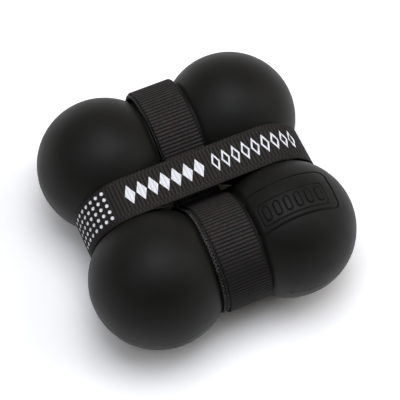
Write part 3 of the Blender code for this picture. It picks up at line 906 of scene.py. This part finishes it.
def webbingBlank(name, path, alongs, widths, middles, axis, thickness, steps):
    # a closed flat tube along the path, with the weave's coordinates on its points
    bm = bmesh.new()
    weaveLayer = bm.verts.layers.float_vector.new("weave")
    outLayer = bm.verts.layers.float_vector.new("out")
    sideways = Vector((0, 1, 0)) if axis == "Y" else Vector((1, 0, 0))
    rows = []
    for i, here in enumerate(path):
        run = (path[min(i + 1, len(path) - 1)] - path[max(i - 1, 0)]).normalized()
        normal = Vector((-run.y, run.x))
        up = Vector((normal.x, 0, normal.y)) if axis == "Y" else Vector((0, normal.x, normal.y))
        middle = middles[i]
        centre = Vector((here.x, middle, here.y)) if axis == "Y" else Vector((middle, here.x, here.y))
        row = []
        for u, z, du, dz, side in crossSection(widths[i], thickness, steps):
            vert = bm.verts.new(centre + sideways * u + up * z)
            vert[weaveLayer] = Vector((alongs[i], u, side))
            vert[outLayer] = sideways * du + up * dz
            row.append(vert)
        rows.append(row)
    count = len(rows[0])
    for near, far in zip(rows, rows[1:]):
        for i in range(count):
            j = (i + 1) % count
            bm.faces.new((near[i], near[j], far[j], far[i]))
    bm.faces.new(rows[0][::-1])
    bm.faces.new(rows[-1])
    bmesh.ops.recalc_face_normals(bm, faces=bm.faces)
    return newPiece(name, bm)


def flipped(path, ySign, zSign):
    return [(ySign * y, zSign * z) for y, z in path]


def raised(path):
    return [(u, z + axisZ) for u, z in path]


def bandQuarter(drop, slack):
    # upper far quarter of the band, from the sewn web to the far end, drop inside the outer ply
    v = plyValues
    roundR = outerPlyR - v["ply"] / 2
    # half a gap, the inner ply and a gap lie under the outer ply's lower face
    rise = v["gap"] / 2 + v["ply"] + v["gap"] + v["ply"] / 2
    pinch = (v["webHalf"], rise + v["pinch"])
    span = Vector((halfRow, 0.0)) - Vector(pinch)
    slope = math.degrees(math.atan2(span.y, span.x) + math.asin((roundR + v["pinch"]) / span.length))
    end = arc((halfRow + slack, 0.0), roundR - drop, 90.0, 0.0)
    return (arc(pinch, v["pinch"] + drop, -90.0, slope - 90.0)
            + arc((halfRow, 0.0), roundR - drop, slope + 90.0, 90.0)
            + (end if slack else end[1:]))


def weave(obj, ribs, pitch, material):
    return runTree(obj, ribs, {**plyValues["ribs"], "Rib pitch": pitch, "Material": material})


def woven(name, points, middle, ribs, material):
    # a whole ply of the band, from one end of its path to the other
    v = plyValues
    step = webbingValues["ribPitch"] / v["samples"]
    path = evenPath(raised(points), step)[0]
    obj = webbingBlank(name, path, [i * step for i in range(len(path))], [webWidth] * len(path),
                       [middle(point.x) for point in path], "X", v["ply"], v["acrossSteps"])
    return weave(obj, ribs, webbingValues["ribPitch"], material), path


def makeBand(ribs, loops, stitches, material, innerMaterial, thread, litChainYarn, shadedChainYarn):
    v = plyValues
    far = bandQuarter(0.0, farSlack)
    near = bandQuarter(0.0, 0.0)
    butt = [(v["gap"], far[0][1])]
    outerPath = (flipped(butt + far, 1, -1) + flipped(far[-2::-1], 1, 1)
                 + flipped(near, -1, 1) + flipped((butt + near)[-2::-1], -1, -1))
    outer, path = woven("bandOuterPly", outerPath, outerX, ribs, material)
    dress(outer, "straps", "webbing", "band_outer_ply")
    proud = selvedgeValues["inset"] - selvedgeValues["outerInset"]
    # the outer ply's chain is in the darker yarn, as painted shade
    makeSelvedgeLoops("outerSelvedgeChain", path, lambda y: outerX(y) - proud, loops, shadedChainYarn)

    far = bandQuarter(v["ply"] + v["gap"], farSlack)
    near = bandQuarter(v["ply"] + v["gap"], 0.0)
    cut = arc((halfRow + farSlack, 0.0), innerPlyR - v["ply"] / 2, v["cutEnd"], 0.0)
    innerPath = (cut + flipped(far[-2::-1], 1, -1) + flipped(near, -1, -1)
                 + flipped(near[-2::-1], -1, 1) + [near[0]])
    inner, path = woven("bandInnerPly", innerPath, lambda y: innerPlyX, ribs, innerMaterial)
    dress(inner, "straps", "webbing", "band_inner_ply")
    # the chain over the near pair, above a set height, is drawn in a paler copy of the yarn as painted
    # light; the rest is in a darker copy as painted shade
    height = axisZ + selvedgeValues["paintedLit"]
    for name, paintedLit, yarn in (("innerSelvedgeChain", False, shadedChainYarn),
                                ("paintedLitSelvedgeChain", True, litChainYarn)):
        makeSelvedgeLoops(name, path, lambda y: innerPlyX, loops, yarn,
                          lambda point: paintedLit == (point.y > height and point.x < 0.0))
    makeFray(path, loops, thread)
    makeWebSeam(stitches, thread)


selvedgeValues = {
    # inset of the chain on the inner and the outer ply, its lift, and the height above the ball
    # centres from which it is painted lit
    "inset": 0.95 * mm, "outerInset": -0.1 * mm, "lift": 0.22 * mm, "paintedLit": 22 * mm,
    "link": {"Loop radius": 0.78 * mm, "Thread radius": 0.27 * mm, "Start": math.radians(-50),
             "Sweep": math.radians(250), "Turn": 0.25, "Lean": 0.2, "Variation": 0.12, "Seed": 4},
}


def standing(name, points, tree, values, material):
    # loops on points given as (place, outward, along)
    bm = bmesh.new()
    outLayer = bm.verts.layers.float_vector.new("out")
    runLayer = bm.verts.layers.float_vector.new("run")
    for place, out, run in points:
        vert = bm.verts.new(place)
        vert[outLayer] = out
        vert[runLayer] = run
    return runTree(newPiece(name, bm), tree, {**values, "Material": material})


def makeSelvedgeLoops(name, path, middle, loops, material, wanted=lambda point: True):
    # the weft is chained on the face of the ply's left edge, one link for each rib
    v = selvedgeValues
    lift = plyValues["ply"] / 2 + v["lift"]
    points = []
    for i in range(plyValues["samples"] // 2, len(path) - 1, plyValues["samples"]):
        here = path[i]
        run = (path[i + 1] - path[i - 1]).normalized()
        place = Vector((middle(here.x) - webWidth / 2 + v["inset"],
                        here.x - run.y * lift, here.y + run.x * lift))
        if wanted(here):
            points.append((place, Vector((-1, 0, 0)), Vector((0, run.x, run.y))))
    dress(standing(name, points, loops, v["link"], material), "straps", "thread")


frayValues = {
    "count": 34, "levels": 7,                 # levels through the thickness, in a mixed order
    "fill": (0.98, 0.6),                      # share of the width and the thickness that they fill
    "fibre": {"Loop radius": 2.4 * mm, "Thread radius": 0.09 * mm, "Start": math.radians(-6),
              "Sweep": math.radians(24), "Shift": -2.4 * mm, "Turn": 3.0, "Lean": 0.25,
              "Variation": 0.3, "Seed": 9},
}


def makeFray(path, loops, material):
    # short ends of warp yarn at the inner ply's cut end, scattered through its thickness
    v = frayValues
    run = (path[0] - path[1]).normalized()
    points = []
    for i in range(v["count"]):
        x = innerPlyX + webWidth * ((i + 0.5) / v["count"] - 0.5) * v["fill"][0]
        level = (i * 5 % v["levels"] / (v["levels"] - 1) - 0.5) * v["fill"][1] * plyValues["ply"]
        place = Vector((x, path[0].x - run.y * level, path[0].y + run.x * level))
        points.append((place, Vector((0, run.x, run.y)), Vector((1, 0, 0))))
    dress(standing("cutEndFray", points, loops, v["fibre"], material), "straps", "thread")


# Closing strap

strapValues = {
    "innerEnd": 0.80, "stepOut": 0.55,                       # stations on the underside
    "tabRoot": -60.0, "tabTip": -19.0, "tabCorner": 4 * mm, "patch": 0.9 * mm,
    "split": 5 * mm, "bendHalf": 2.2 * mm,                   # the free end bends about its root
    "width": 25.0 * mm, "middle": -0.2 * mm,
    "stationStep": 0.005, "flatSteps": 12, "endSteps": 90, "easeSteps": 24, "tabSteps": 20,
}
justUnder = 0.9999                     # a whole station would already be on the next side
strapR = strapOuterR - plyValues["strapPly"] / 2             # middle of the strap's single layer
loopR = strapOuterR + plyValues["gap"] + strapValues["patch"] / 2
hookR = loopR + strapValues["patch"] + plyValues["gap"]
tabR = hookR + strapValues["patch"] / 2 + plyValues["gap"] + plyValues["strapPly"] / 2
rightEndX = hinge.x - tabR * math.cos(math.radians(strapValues["tabRoot"]))
rootStation = 1.0 + (strapValues["tabRoot"] + 90.0) / 180.0


def strapPoint(station, r):
    # stations 0 to 1 are the underside, 1 to 2 the right end, 2 to 3 the top, 3 to 4 the left end
    side = int(station)
    part = station - side
    span = halfPitch + rightEndX
    if side == 0:
        return (span * part - halfPitch, -r)
    if side == 2:
        return (rightEndX - span * part, r)
    middle = rightEndX if side == 1 else -halfPitch
    angle = math.radians((-90.0 if side == 1 else 90.0) + 180.0 * part)
    return (middle + r * math.cos(angle), r * math.sin(angle))


def strapRun(start, end, radius, steps):
    return [strapPoint(start + (end - start) * i / steps, radius(start + (end - start) * i / steps))
            for i in range(steps + 1)]


def evenR(station):
    return strapR


def steppedR(station):
    # the outer layer eases out over the inner end and the patches
    v = strapValues
    return strapR + (tabR - strapR) * smooth((station - v["stepOut"]) / (rootStation - v["stepOut"]))


def strapPath():
    # round the balls once from the inner end, then over it and out to the free end's tip
    v = strapValues
    # the inner end lies where the layer over it has eased out far enough to clear it
    start = v["innerEnd"]
    while steppedR(start) - strapR < plyValues["strapPly"] + plyValues["gap"]:
        start += v["stationStep"]
    points = strapRun(start, 1.0, evenR, v["flatSteps"])
    points += strapRun(1.0, 1.0 + justUnder, evenR, v["endSteps"])[1:]
    points += [strapPoint(2.0, strapR), strapPoint(2.0 + justUnder, strapR)]
    points += strapRun(3.0, 3.0 + justUnder, evenR, v["endSteps"])
    points += strapRun(v["stepOut"], justUnder, steppedR, v["easeSteps"])
    points += strapRun(1.0, rootStation, steppedR, v["tabSteps"])
    return raised(points + arc((rightEndX, 0.0), tabR, v["tabRoot"], v["tabTip"])[1:])


def makeClosingStrap(ribs, material):
    v = strapValues
    p = plyValues
    pitch = strapLook["ribPitch"]
    path, step = evenPath(strapPath(), pitch / p["samples"])
    # lengths along the strap run from the middle of its top, where the print is placed from
    onTop = [i for i in range(len(path)) if path[i].y > axisZ]
    middleRow = min(onTop, key=lambda i: abs(path[i].x))
    alongs = [(middleRow - i) * pitch / p["samples"] for i in range(len(path))]
    # the free end's corners are rounded
    corner = v["tabCorner"]
    widths = []
    for i, point in enumerate(path):
        left = max(corner - (point - path[-1]).length, 0.0) if i > middleRow else 0.0
        widths.append(v["width"] - 2 * (corner - math.sqrt(corner ** 2 - left ** 2)))
    # the tab starts a whole number of ribs along, short of the line that it bends about
    bendLine = Vector((hinge.x, hinge.z))
    hingeRow = min(range(middleRow, len(path)), key=lambda i: (path[i] - bendLine).length)
    split = (hingeRow - round(v["split"] / step)) // p["samples"] * p["samples"]
    strap, tab = (weave(webbingBlank(name, path[low:high], alongs[low:high], widths[low:high],
                                     [v["middle"]] * (high - low), "Y", p["strapPly"],
                                     p["acrossSteps"]), ribs, pitch, material)
                  for name, low, high in (("closingStrap", 0, split + 1),
                                          ("closingTab", split, len(path))))
    dress(strap, "straps", "webbing", "closing_strap")
    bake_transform(tab)
    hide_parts("closing_tab")


# Fastener tapes and seams

patchValues = {
    # angles on the strap's right end circle, width, pitch and margin, and what stands on the tape
    "loop": {"angles": (-84.0, -12.0), "width": 23.2 * mm, "pitch": 0.72 * mm, "margin": 0.8 * mm,
             "pile": {"Loop radius": 0.30 * mm, "Thread radius": 0.05 * mm,
                      "Start": math.radians(-40), "Sweep": math.radians(260),
                      "Turn": 3.1, "Lean": 0.55, "Variation": 0.3, "Seed": 2}},
    "hook": {"angles": (-56.0, -25.0), "width": 19.0 * mm, "pitch": 1.15 * mm, "margin": 1.6 * mm,
             "pile": {"Loop radius": 0.26 * mm, "Thread radius": 0.09 * mm,
                      "Start": math.radians(-20), "Sweep": math.radians(235), "Shift": -0.26 * mm,
                      "Turn": 0.12, "Lean": 0.08, "Variation": 0.08, "Seed": 6}},
    "ground": 0.35 * mm, "groundStep": 0.6 * mm, "acrossSteps": 12,
    "rowPitch": 0.87,                         # rows stand closer than the places in a row
}

seamValues = {
    # fill is half a stitch as a share of its pitch, sunk a share of the thread's radius
    "stitch": 2.4 * mm, "inset": 1.1 * mm, "thread": 0.26 * mm, "fill": 0.46, "sunk": 0.4,
    "zigzags": 9, "zigzagHalf": 1.8 * mm, "webLift": 0.35 * mm,
}


def endPoint(angle, r, y):
    # point on the strap's right end circle, with its outward direction and its run
    a = math.radians(angle)
    out = Vector((math.cos(a), 0.0, math.sin(a)))
    return Vector((rightEndX, y, axisZ)) + out * r, out, Vector((-out.z, 0.0, out.x))


def tapeGround(name, angles, width, r, material):
    v = patchValues
    path, step = evenPath(raised(arc((rightEndX, 0.0), r, *angles)), v["groundStep"])
    count = len(path)
    obj = webbingBlank(name, path, [i * step for i in range(count)], [width] * count, [0.0] * count,
                       "Y", v["ground"], v["acrossSteps"])
    obj.data.materials.append(material)
    return obj


def standOn(angles, width, r, pitch, margin, way):
    # rows of places over a tape, each second row shifted by half a pitch
    shift = math.degrees(margin / r)
    low, high = angles[0] + shift, angles[1] - shift
    rows = max(2, round(math.radians(high - low) * r / (patchValues["rowPitch"] * pitch)))
    columns = round((width - 2 * margin) / pitch)
    points = []
    for i in range(rows + 1):
        for j in range(columns + i % 2):
            y = (j + 0.5 * (1 - i % 2) - columns / 2) * pitch
            place, out, run = endPoint(low + (high - low) * i / rows, r, y)
            points.append((place, out * way, run))
    return points


def makePatches(loops, stitches, ground, pile, hook, thread):
    depth = patchValues["ground"]
    inwards = strapValues["patch"] / 2 - depth                # from a patch's middle to its ground
    # tape, body, middle radius, side of the pile, its name and material, radius of the seam
    tapes = (("loop", "straps", loopR, 1, "loopPile", pile, loopR - inwards),
             ("hook", "free_end", hookR, -1, "hookRows", hook, tabR + plyValues["strapPly"] / 2))
    for kind, body, r, way, name, yarn, _ in tapes:
        v = patchValues[kind]
        base = tapeGround(f"{kind}TapeGround", v["angles"], v["width"],
                          r - way * (inwards + depth / 2), ground)
        dress(base, body, f"{kind}_tape", f"{kind}_patch")
        points = standOn(v["angles"], v["width"], r - way * inwards, v["pitch"], v["margin"], way)
        dress(standing(name, points, loops, v["pile"], yarn), body, f"{kind}_tape")
    for kind, body, *_, seamR in tapes:
        v = patchValues[kind]
        obj = frameSeam(f"{kind}PatchStitching", v["angles"], v["width"], seamR, stitches, thread)
        dress(obj, body, "thread", f"{kind}_patch_stitching")
    print("fastener tapes have their pile, hooks and lockstitched frames")


def seamLine(name, points, closed, stitches, thread):
    # one plump stitch between each two points of the seam
    bm = bmesh.new()
    verts = [bm.verts.new(point) for point in points]
    for a, b in zip(verts, verts[1:] + (verts[:1] if closed else [])):
        bm.edges.new((a, b))
    s = seamValues
    return runTree(newPiece(name, bm), stitches, {"Thread radius": s["thread"], "Fill": s["fill"],
                                                  "Material": thread})


def frameSeam(name, angles, width, r, stitches, thread):
    # stitches in a row along each side of the patch
    s = seamValues
    r += s["sunk"] * s["thread"]
    inset = math.degrees(s["inset"] / r)
    low, high = angles[0] + inset, angles[1] - inset
    half = width / 2 - s["inset"]
    counts = (round(math.radians(high - low) * r / s["stitch"]), round(2 * half / s["stitch"])) * 2
    corners = ((low, half), (high, half), (high, -half), (low, -half), (low, half))
    points = []
    for (angle, y), (nextAngle, nextY), count in zip(corners, corners[1:], counts):
        for i in range(count):
            share = i / count
            points.append(endPoint(angle + (nextAngle - angle) * share, r, y + (nextY - y) * share)[0])
    return seamLine(name, points, True, stitches, thread)


def makeWebSeam(stitches, thread):
    # zigzags through all plies of the web between the pairs
    s = seamValues
    v = plyValues
    height = v["gap"] / 2 + 2 * v["ply"] + v["gap"] + s["webLift"]
    reach = webWidth / 2 - s["inset"]
    for name, node, face in (("bandNeedleThread", "band_needle_thread", 1),
                             ("bandBobbinThread", "band_bobbin_thread", -1)):
        points = []
        for i in range(2 * s["zigzags"] + 1):
            x = outerX(0.0) + reach * (i / s["zigzags"] - 1)
            points.append((x, s["zigzagHalf"] * (-1) ** i, axisZ + face * height))
        obj = seamLine(name, points, False, stitches, thread)
        dress(obj, "straps", "thread", node)


# Main

makeCamera(cameraValues)
makeStudio(studioValues)
print("camera, softboxes and floor are set")

rubber = makeRubber(rubberValues)
plainWebbing = makeWebbing("ribbedPolyesterWebbing", webbingValues)
chainedWebbing = makeWebbing("chainBorderedWebbing", {**webbingValues, **innerLook})
printedWebbing = makeWebbing("screenPrintedWebbing", {**webbingValues, **strapLook}, printValues)
litChainYarn, shadedChainYarn, thread, pileYarn, hookWire = (makeThread(name, *look)
                                                    for name, look in threadValues.items())
knittedGround = makeTape("knittedTapeGround", tapeValues)

for pairName, side in (("farPair", 1), ("nearPair", -1)):
    body = "far_pair" if side > 0 else "near_pair"
    for half, upper in (("Upper", True), ("Lower", False)):
        shell = pairShell(f"{pairName}{half}Shell", side, upper, rubber, panel=side < 0 and upper)
        dress(shell, body, "shell", f"{body}_{half.lower()}_shell")
makeVents(rubber)
print("ball pairs are turned, with their parting line, vents and panel")

ribs = ribTree(plyValues)
loops = loopTree()
stitches = stitchTree()
makeBand(ribs, loops, stitches, plainWebbing, chainedWebbing, thread, litChainYarn, shadedChainYarn)
print("band is woven, with its selvedge loops")
makeClosingStrap(ribs, printedWebbing)
makePatches(loops, stitches, knittedGround, pileYarn, hookWire, thread)
